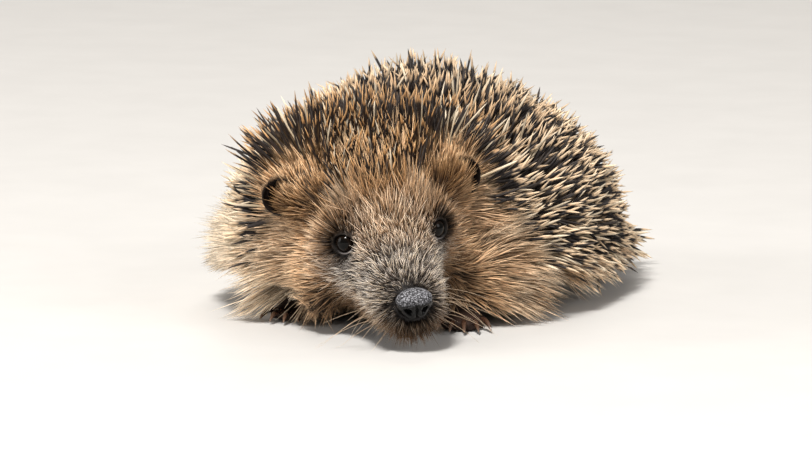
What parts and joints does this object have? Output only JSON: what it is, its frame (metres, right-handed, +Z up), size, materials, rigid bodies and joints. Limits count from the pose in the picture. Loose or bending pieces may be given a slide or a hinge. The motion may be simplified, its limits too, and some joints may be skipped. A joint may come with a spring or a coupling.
{
  "type": "hedgehog",
  "caption": "Young European hedgehog crouched on level ground, head low and turned to its left, spines laid back, skirt of long fur.",
  "frame": {"origin": "on the floor, under the middle of the animal's bounding box", "axes": "+Z up, +Y towards the tail along the trunk, +X towards the animal's left"},
  "size_m": [0.12, 0.1938, 0.0747],
  "materials": {
    "fur": "coarse buff and tan fur with cream tips, matt",
    "spines": "cream spines with a dark brown band, semi-matt",
    "bare_skin": "dark grey-brown bare skin with short hairs, matt",
    "nose": "black, finely pebbled, moist",
    "claw": "dark brown horn, smooth",
    "eye": "near-black, wet and glossy"
  },
  "bodies": {
    "root": {"back": "spines", "claw_front_left_1": "claw", "claw_front_left_2": "claw", "claw_front_left_3": "claw", "claw_front_left_4": "claw", "claw_front_left_5": "claw", "claw_front_right_1": "claw", "claw_front_right_2": "claw", "claw_front_right_3": "claw", "claw_front_right_4": "claw", "claw_front_right_5": "claw", "claw_hind_left_1": "claw", "claw_hind_left_2": "claw", "claw_hind_left_3": "claw", "claw_hind_left_4": "claw", "claw_hind_left_5": "claw", "claw_hind_right_1": "claw", "claw_hind_right_2": "claw", "claw_hind_right_3": "claw", "claw_hind_right_4": "claw", "claw_hind_right_5": "claw", "ear_left": "bare_skin", "ear_right": "bare_skin", "eye_left": "eye", "eye_right": "eye", "foot_front_left": "bare_skin", "foot_front_right": "bare_skin", "foot_hind_left": "bare_skin", "foot_hind_right": "bare_skin", "head": "fur", "jaw": "fur", "leg_front_left": "fur", "leg_front_right": "fur", "leg_hind_left": "fur", "leg_hind_right": "fur", "muzzle": "fur", "neck": "spines", "nose": "nose", "rump": "spines", "shoulders": "spines", "tail": "fur"}
  },
  "joints": []
}
